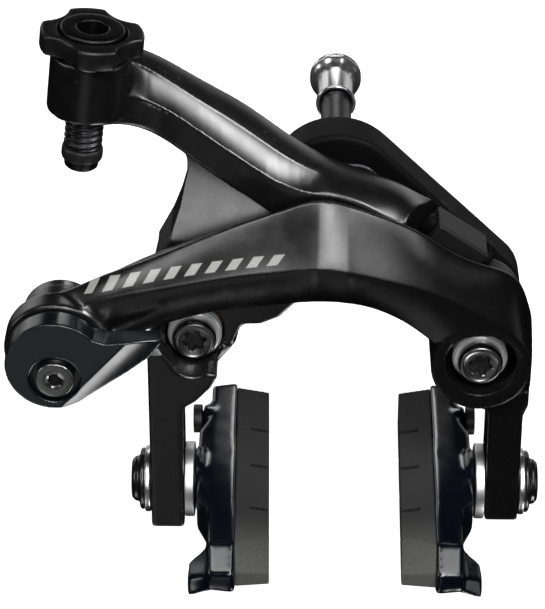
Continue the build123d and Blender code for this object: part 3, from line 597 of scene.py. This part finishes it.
# ---------------------------------------------------------------- forged parts
def applied(piece):
    """Replace a piece's mesh by its modified one."""
    graph = bpy.context.evaluated_depsgraph_get()
    mesh = bpy.data.meshes.new_from_object(piece.evaluated_get(graph))
    piece.modifiers.clear()
    piece.data = mesh


def remesh(piece, voxel):
    modifier = piece.modifiers.new("remesh", "REMESH")
    modifier.mode = "VOXEL"
    modifier.voxel_size = voxel * MM
    applied(piece)


def swell(piece, distance):
    modifier = piece.modifiers.new("swell", "DISPLACE")
    modifier.strength = distance * MM
    modifier.mid_level = 0.0
    applied(piece)


def relax(piece, rounds, factor=0.5):
    modifier = piece.modifiers.new("relax", "SMOOTH")
    modifier.iterations = rounds
    modifier.factor = factor
    applied(piece)


def reshape(piece, shape):
    """Pass a piece's vertices in millimetres through a function of x, y and z."""
    mesh = piece.data
    points = np.empty(len(mesh.vertices) * 3)
    mesh.vertices.foreach_get("co", points)
    x, y, z = points.reshape(-1, 3).T / MM
    moved = np.stack(shape(x, y, z), axis=1) * MM
    mesh.vertices.foreach_set("co", moved.ravel())
    mesh.update()


def forged(name, node, body, material, voxel, fillet, rounds, shape=None):
    """Forging made from a CAD node: even skin of voxel size, inner corners filled by fillet, edges rounded by
    rounds of smoothing. Shape is a function that moves the skin."""
    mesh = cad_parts[node].data.copy()
    piece = bpy.data.objects.new(name, mesh)
    bpy.context.scene.collection.objects.link(piece)
    remesh(piece, voxel)
    if fillet:
        swell(piece, fillet)
        remesh(piece, voxel)
        swell(piece, -fillet)
        remesh(piece, voxel)
    if shape:
        reshape(piece, shape)
    relax(piece, rounds)
    mesh = piece.data
    bpy.data.objects.remove(piece)
    mesh.name = name
    return new_piece(name, mesh, material, body, [node], crisp=None)


def smooth(value, low, high):
    """Smooth step from 0 at low to 1 at high."""
    share = np.clip((value - low) / (high - low), 0.0, 1.0)
    return share * share * (3 - 2 * share)


# Axes of the two pivots, left and right of the stud and below it.
PIVOT_X = 26.4
PIVOT_Z = -20.9

# Front arm's crown: left and right edge of its flat, reach and depth of the fall beside it, and where in
# depth that starts to act and over what distance it grows to full.
CROWN_LEFT = -3.6
CROWN_RIGHT = 1.8
CROWN_REACH = 6.0
CROWN_FALL = 0.62
CROWN_BACK = -30.0
CROWN_GROWTH = 6.0
# Mouth of the right bolt's recess: its lift, the distances from the pivot over which the lift grows and then
# fades, and the depths over which it fades towards the back.
MOUTH_LIFT = 0.9
MOUTH_GROWS = (5.2, 6.2)
MOUTH_FADES = (7.4, 10.0)
MOUTH_BACK = (-34.0, -31.0)


def kink_crown(x, y, z):
    """Turn the front arm's front away from a narrow flat at its crown, sharply on both sides."""
    share = np.clip((CROWN_BACK - y) / CROWN_GROWTH, 0.0, 1.0)
    for beyond in (CROWN_LEFT - x, x - CROWN_RIGHT):
        away = np.maximum(beyond, 0.0) / CROWN_REACH
        y = y + CROWN_FALL * away * np.exp(-away) * share
    # raise the mouth of the right bolt's recess
    reach = np.hypot(x - PIVOT_X, z - PIVOT_Z)
    near = smooth(reach, *MOUTH_GROWS) * (1 - smooth(reach, *MOUTH_FADES)) * (1 - smooth(y, *MOUTH_BACK))
    return x, y, z + MOUTH_LIFT * near


# Edges of the rear beam's channel, as width and then (depth, height) above and below.
CHANNEL = np.array([
    (-38.0, -27.4, 35.7, -31.8, 31.5), (-32.0, -25.2, 32.0, -29.5, 28.1), (-25.0, -24.2, 26.4, -28.6, 22.3),
    (-17.0, -23.7, 20.4, -28.2, 16.0), (-9.0, -23.6, 14.4, -28.0, 9.9), (-2.0, -23.8, 11.0, -28.0, 9.3),
])
# Shifts in width that the edges are averaged over, the channel's depth, and how near skin must lie to move.
CHANNEL_SHIFTS = (-4, -2, 0, 2, 4)
CHANNEL_DEPTH = 1.3
CHANNEL_SKIN = 1.2
# Power that rounds the channel's section, the widths over which it fades in at its left end, and the
# distances left of the stud over which it fades in at its right end.
CHANNEL_ROUNDING = 0.8
CHANNEL_LEFT = (-38.5, -33.0)
CHANNEL_RIGHT = (2.0, 5.0)


def channel_edge(x, column):
    """Position of one edge of the channel at x, averaged over the shifts so that it bends smoothly."""
    places = [np.interp(x + shift, CHANNEL[:, 0], CHANNEL[:, column]) for shift in CHANNEL_SHIFTS]
    return sum(places) / len(places)


def shape_rear(x, y, z):
    """Hollow the channel along the rear beam, and lean the front of the web back below it."""
    upper_y, upper_z, lower_y, lower_z = (channel_edge(x, column) for column in (1, 2, 3, 4))
    run_y, run_z = lower_y - upper_y, lower_z - upper_z
    length = np.hypot(run_y, run_z)
    run_y, run_z = run_y / length, run_z / length
    out_y, out_z = run_z, -run_y
    share = ((y - upper_y) * run_y + (z - upper_z) * run_z) / length
    out = (y - upper_y) * out_y + (z - upper_z) * out_z
    wanted = -CHANNEL_DEPTH * np.clip(share * (1 - share), 0.0, 1.0) ** CHANNEL_ROUNDING
    on_skin = (share > 0) & (share < 1) & (np.abs(out) < CHANNEL_SKIN)
    move = (wanted - out) * on_skin * smooth(x, *CHANNEL_LEFT) * smooth(-x, *CHANNEL_RIGHT)
    y, z = y + out_y * move, z + out_z * move
    return slope_web(x, y, z)


# Front of the web: underside of the beam above it as widths and heights, then the depth and height of a point
# on it, its slope there and how that steepens, and how far below the point it turns to drop away steeply.
BEAM_X = (-30.0, -25.0, -17.0, -9.0)
BEAM_UNDERSIDE = (15.5, 13.4, 8.6, 2.2)
WEB_Y = -27.0
WEB_Z = -3.0
WEB_SLOPE = 0.4
WEB_STEEPENING = 0.008
WEB_FOOT = -12.0
WEB_DROP = 0.6
# How far below the beam the web's front reaches its full slope, and the distances left of the stud over
# which it fades in.
WEB_BLEND = 0.8
WEB_RIGHT = (8.0, 11.0)


def slope_web(x, y, z):
    """Lean the front of the rear arm's web back towards its top, below the beam."""
    below_beam = np.interp(x, BEAM_X, BEAM_UNDERSIDE) - z
    inside = smooth(below_beam, 0.0, WEB_BLEND) * smooth(-x, *WEB_RIGHT)
    rise = z - WEB_Z
    slope = WEB_Y + WEB_SLOPE * rise + WEB_STEEPENING * np.maximum(rise, WEB_FOOT) ** 2
    slope = slope - WEB_DROP * np.maximum(WEB_FOOT - rise, 0.0)
    return x, y + inside * np.maximum(slope - y, 0.0), z


# Lever's tail: the sharp line it starts at as width and height, depth and reach of its hollow, and where in
# depth the hollow starts to act and over what distance it grows to full.
TAIL_LINE_START = np.array((-46.2, -20.5))
TAIL_LINE_END = np.array((-37.8, -11.1))
TAIL_HOLLOW = 1.5
TAIL_REACH = 3.0
TAIL_BACK = -42.6
TAIL_GROWTH = 4.4


def hollow_tail(x, y, z):
    """Ease the lever's tail back behind a sharp line across the end of its disc."""
    run = TAIL_LINE_END - TAIL_LINE_START
    along = run / np.linalg.norm(run)
    beyond = (x - TAIL_LINE_START[0]) * along[1] - (z - TAIL_LINE_START[1]) * along[0]
    share = np.clip((TAIL_BACK - y) / TAIL_GROWTH, 0.0, 1.0)
    drop = TAIL_HOLLOW * (1 - np.exp(-np.maximum(beyond, 0.0) / TAIL_REACH))
    return x, y + drop * share, z


forged("front_arm_forging", "front_arm", "front_arm", "front_arm", 0.28, 0.9, 4, kink_crown)
forged("rear_arm_forging", "rear_arm", "rear_arm", "arm", 0.28, 0.9, 4, shape_rear)
forged("release_lever_forging", "quick_release_lever", "quick_release", "lever", 0.2, 0.0, 9, hollow_tail)
# the bridge plate takes the painted-shade black
forged("bridge_plate_forging", "bridge_plate", "bridge", "plate", 0.4, 0.5, 6)
forged("centring_block_moulding", "centring_block", "front_arm", "plastic", 0.15, 0.0, 3)
for word in ("left", "right"):
    forged(f"{word}_holder_moulding", f"{word}_shoe_holder", f"{word}_shoe", "holder", 0.3, 1.2, 18)
    forged(f"{word}_screw_moulding", f"{word}_pad_screw", f"{word}_shoe", "plastic", 0.15, 0.0, 8)
    forged(f"{word}_pad_moulding", f"{word}_brake_pad", f"{word}_shoe", "pad", 0.2, 0.0, 2)


# ---------------------------------------------------------------- turned parts
def turned(name, rings, material, body, node, origin, axis, turn=0.0, segments=96, closed=False, crisp=32.0):
    mesh = turned_mesh(name, rings, segments, closed)
    return new_piece(name, mesh, material, body, [node], place(origin, axis, turn), crisp)


def dark_socket(piece, rings, segments):
    """Give the last bands of a turned piece, its driving socket, their own near-black finish: painted shade
    in the recess.
    """
    mesh = piece.data
    mesh.materials.append(MATERIALS["socket"])
    first = len(mesh.polygons) - rings * segments
    for face in mesh.polygons:
        if face.index >= first:
            face.material_index = 1


def thread(radius, depth, pitch):
    """Radius of a helical thread with rounded crests as a function of angle and height."""
    def reach(angle, height):
        phase = height / pitch - angle / (2 * math.pi)
        return radius - depth * (0.5 - 0.5 * math.cos(2 * math.pi * phase)) ** 1.3
    return reach


def thread_rings(radius, depth, pitch, start, end, steps=10):
    """Rings of a thread that runs out at both ends."""
    rings = [(radius - depth, start - 0.05)]
    count = int((end - start) / pitch * steps)
    cut = thread(radius, depth, pitch)
    rings += [(cut, start + (end - start) * step / count) for step in range(count + 1)]
    return rings + [(radius - depth, end + 0.05)]


# recessed nut and stud, both along +Y
NUT_RINGS = soften([
    (3.08, 34.2), (3.08, 26.3), (3.45, 25.75), (3.8, 25.7), (4.0, 25.95), (4.0, 26.35), (3.78, 26.6),
    (3.78, 33.6), (3.95, 34.7), (4.5, 35.7), (4.95, 36.3), (5.2, 36.7), (5.2, 37.2), (5.0, 37.4), (5.0, 37.7),
    (5.2, 37.9), (5.2, 38.35), (4.8, 38.78), (4.2, 38.8), (3.2, 38.45),
], 0.18)
turned(
    "chromed_nut", NUT_RINGS + [(hex_radius(2.5), 38.4), (hex_radius(2.5), 34.25)], "chrome", "nut",
    "recessed_nut", (0, 0, 0), (0, 1, 0), closed=True,
)
turned(
    "threaded_stud",
    [(0, -12.0), (4.5, -12.0), (4.88, -11.7), (4.88, -9.0), (3.2, -9.0), (3.2, 0), (3.0, 0.05), (3.0, 24.6)]
    + thread_rings(2.95, 0.3, 1.0, 25.0, 31.2) + [(2.2, 31.9), (1.9, 32.0), (0, 32.0)],
    "black_steel", "bridge", "mounting_stud", (0, 0, 0), (0, 1, 0),
)

# pivot bolts and collars, along -Y: where the bolts start in the plate, height of their heads and length from
# a head's top to the back of its collar, then side, width, depth of the head's top and turn of its socket
BOLT_START_Y = -3.3
HEAD_HEIGHT = 2.4
HEAD_TO_COLLAR = 5.2
PIVOTS = (("left", -PIVOT_X, -30.4, 0.2), ("right", PIVOT_X, -38.0, -0.25))
for side, pivot_x, head_y, turn in PIVOTS:
    shank = BOLT_START_Y - head_y - HEAD_HEIGHT
    top = shank + HEAD_HEIGHT
    head = soften([
        (3.0, shank), (3.95, shank), (4.1, shank + 0.2), (4.1, shank + 1.6), (3.75, top), (3.3, top),
    ], 0.3)
    bolt = turned(
        f"{side}_bolt_turning",
        [(0, 0), (2.6, 0), (3.0, 0.4)] + head
        + [(3.05, top - 0.16), (2.7, top - 0.2), (torx_radius(1.06), top - 0.24), (torx_radius(), top - 0.4),
           (torx_radius(), top - 1.8), (torx_radius(0.55), top - 2.0), (0, top - 2.1)],
        "bolt_steel", "bridge", f"{side}_pivot_bolt", (pivot_x, BOLT_START_Y, PIVOT_Z), (0, -1, 0), turn, 120,
    )
    # painted shade inside the Torx socket
    dark_socket(bolt, 3, 120)
    collar = soften([
        (3.02, 0), (4.8, 0), (5.08, 0.3), (5.08, 1.3), (4.95, 1.45), (4.95, 1.6), (5.08, 1.75), (5.08, 2.35),
        (4.6, 2.78), (3.02, 2.78),
    ], 0.12)
    turned(
        f"{side}_collar_turning", collar, "bright_collar", "bridge", f"{side}_pivot_collar",
        (pivot_x, head_y + HEAD_TO_COLLAR, PIVOT_Z), (0, -1, 0), closed=True,
    )

# shoe hardware, along each bolt outward: depth and height of the bolts, and where each piece starts in width
SHOE_Y = -30.0
SHOE_Z = -52.2
SPACER_X = 26.7
OUTER_WASHER_X = 35.0
SHOE_BOLT_X = 23.2
for side, word in ((-1, "left"), (1, "right")):
    body = f"{word}_shoe"
    outward = (side, 0, 0)
    spacer = soften([(3.12, 0.0), (7.0, 0.0), (7.2, 0.15), (7.2, 1.65), (7.05, 1.78), (3.12, 1.78)], 0.06)
    turned(
        f"{word}_spacer_turning", spacer, "washer", body, f"{word}_spacer_washer",
        (side * SPACER_X, SHOE_Y, SHOE_Z), outward, closed=True,
    )
    outer = soften([(3.12, 0.0), (6.1, 0.0), (6.35, 0.2), (6.35, 1.0), (6.1, 1.2), (3.12, 1.2)], 0.12)
    turned(
        f"{word}_washer_turning", outer, "washer", body, f"{word}_outer_washer",
        (side * OUTER_WASHER_X, SHOE_Y, SHOE_Z), outward, closed=True,
    )
    cap = soften([
        (3.0, 13.0), (5.6, 13.0), (5.9, 13.2), (5.9, 13.65), (5.5, 13.95), (4.7, 14.0), (4.35, 14.35),
        (4.3, 14.9), (3.6, 15.55), (2.6, 15.6),
    ], 0.2)
    turned(
        f"{word}_bolt_cap",
        [(0, 0), (2.7, 0), (3.0, 0.3)] + cap
        + [(hex_radius(2.1), 15.55), (hex_radius(2.0), 15.4), (hex_radius(2.0), 13.6), (0, 13.2)],
        "black_gloss", body, f"{word}_shoe_bolt", (side * SHOE_BOLT_X, SHOE_Y, SHOE_Z), outward, 0.3,
    )

# anchor bolt in the cam, along -Y
ANCHOR_START = (-50.9, -27.2, -18.8)
ANCHOR = soften([
    (2.1, 18.2), (3.2, 18.2), (3.5, 18.4), (3.5, 19.85), (3.38, 20.04), (2.3, 20.08), (1.55, 20.06),
], 0.08)
anchor = turned(
    "anchor_turning",
    [(0, 0), (1.8, 0), (2.1, 0.3)] + ANCHOR
    + [(hex_radius(1.2), 19.9), (hex_radius(1.1), 19.7), (hex_radius(1.1), 18.6), (0, 18.3)],
    "bolt_steel", "quick_release", "anchor_bolt", ANCHOR_START, (0, -1, 0), 0.2,
)
# painted shade inside the hex socket
dark_socket(anchor, 2, 96)

# centring screw, along its own slope
SCREW_SLOPE = math.radians(-35.0)
SCREW_START = Vector((16.2, -24.4, 1.9))
screw_axis = Vector((math.cos(SCREW_SLOPE), 0, math.sin(SCREW_SLOPE)))
turned(
    "centring_screw_turning",
    [(0, 0.0), (1.4, 0.0)] + thread_rings(1.95, 0.28, 0.8, 0.4, 12.2)
    + soften([(1.9, 12.5), (2.7, 12.5), (2.9, 12.8), (2.9, 13.7), (2.6, 14.05), (1.5, 14.1)], 0.2)
    + [(hex_radius(1.05), 14.05), (hex_radius(1.0), 13.9), (hex_radius(1.0), 13.0), (0, 12.9)],
    # painted shade: the screw takes the plate's darker black so it sinks into the dark
    "plate", "centring_screw", "centring_screw", SCREW_START, screw_axis,
)

# cable adjuster, along its leaning axis
ADJUSTER_LEAN = math.radians(6.5)
ADJUSTER_START = Vector((-44.7, -31.0, 28.0))
adjuster_axis = Vector((math.sin(ADJUSTER_LEAN), 0, math.cos(ADJUSTER_LEAN)))
# Knob: radius over its lobes, then centre distance and radius of its scallops, angle in degrees of the first
# scallop, and how widely a scallop and a lobe blend.
KNOB_RADIUS = 9.1
SCALLOP_CENTRE = 14.0
SCALLOP_RADIUS = 6.8
FIRST_SCALLOP = 55
LOBE_BLEND = 0.5


def lobed(inset):
    """Outline of the four-lobed knob as a function of angle, moved inward."""
    def radius(angle, height):
        reach = KNOB_RADIUS
        for step in range(4):
            turn = angle - math.radians(FIRST_SCALLOP + 90 * step)
            turn = (turn + math.pi) % (2 * math.pi) - math.pi
            if abs(turn) < math.asin(SCALLOP_RADIUS / SCALLOP_CENTRE):
                across = SCALLOP_CENTRE * math.sin(turn)
                scallop = SCALLOP_CENTRE * math.cos(turn) - math.sqrt(SCALLOP_RADIUS ** 2 - across ** 2)
                mix = max(LOBE_BLEND - abs(reach - scallop), 0) / LOBE_BLEND
                reach = min(reach, scallop) - mix * mix * LOBE_BLEND / 4
        return reach - inset
    return radius


KNOB_RINGS = [
    (3.55, 11.7), (5.2, 11.7), (lobed(0.8), 11.7), (lobed(0.3), 11.74), (lobed(0.08), 11.9),
    (lobed(0.0), 12.2), (lobed(0.0), 14.75), (lobed(0.06), 15.0), (lobed(0.22), 15.2), (lobed(0.42), 15.32),
    (lobed(0.8), 15.39),
    (6.45, 15.4), (6.25, 15.33), (6.1, 15.1), (5.8, 13.3), (3.55, 13.25),
]
turned(
    "lobed_knob", KNOB_RINGS, "knob", "adjuster_knob", "adjuster_knob", ADJUSTER_START, adjuster_axis,
    0.0, 240, True, 50.0,
)
BARREL_RINGS = [
    (1.25, -9.6), (1.25, -11.2), (1.5, -11.4), (2.7, -11.4), (3.0, -11.1), (3.08, -10.6), (3.08, -7.2),
]
BARREL_RINGS += thread_rings(3.45, 0.42, 1.2, -7.0, 5.0)
BARREL_RINGS += soften([
    (3.45, 5.3), (3.45, 13.3), (5.7, 13.3), (5.7, 15.6), (5.4, 15.85), (4.7, 15.95), (3.2, 15.95),
    (2.85, 15.8), (2.75, 15.7), (2.75, 7.3), (1.25, 7.2),
], 0.14)
turned(
    "threaded_barrel", BARREL_RINGS, "black_steel", "adjuster_barrel", "adjuster_barrel", ADJUSTER_START,
    adjuster_axis, 0.0, 80, True,
)
RING = soften([(3.12, 0.0), (3.5, 0.0), (3.7, 0.5), (3.7, 1.9), (3.5, 2.4), (3.12, 2.4)], 0.3)
RING_DROP = 9.7
turned(
    "barrel_ring", RING, "plastic", "adjuster_barrel", "barrel_end_ring",
    ADJUSTER_START - adjuster_axis * RING_DROP, adjuster_axis, closed=True,
)


# ---------------------------------------------------------------- CAD nodes that stay
KEPT = {
    "toothed_washer": "black_steel", "return_spring": "black_steel", "roller_pin": "steel",
    "sync_roller": "steel", "detent_washer": "steel", "cam_shaft": "dark_steel",
    "rear_clamp_hub": "black_gloss",
}
for word in ("left", "right"):
    KEPT.update({
        f"{word}_pivot_sleeve": "steel", f"{word}_pivot_bush": "bronze", f"{word}_thrust_washer": "bronze",
    })
for name, material in KEPT.items():
    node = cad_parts[name]
    node.data.materials.clear()
    node.data.materials.append(MATERIALS[material])
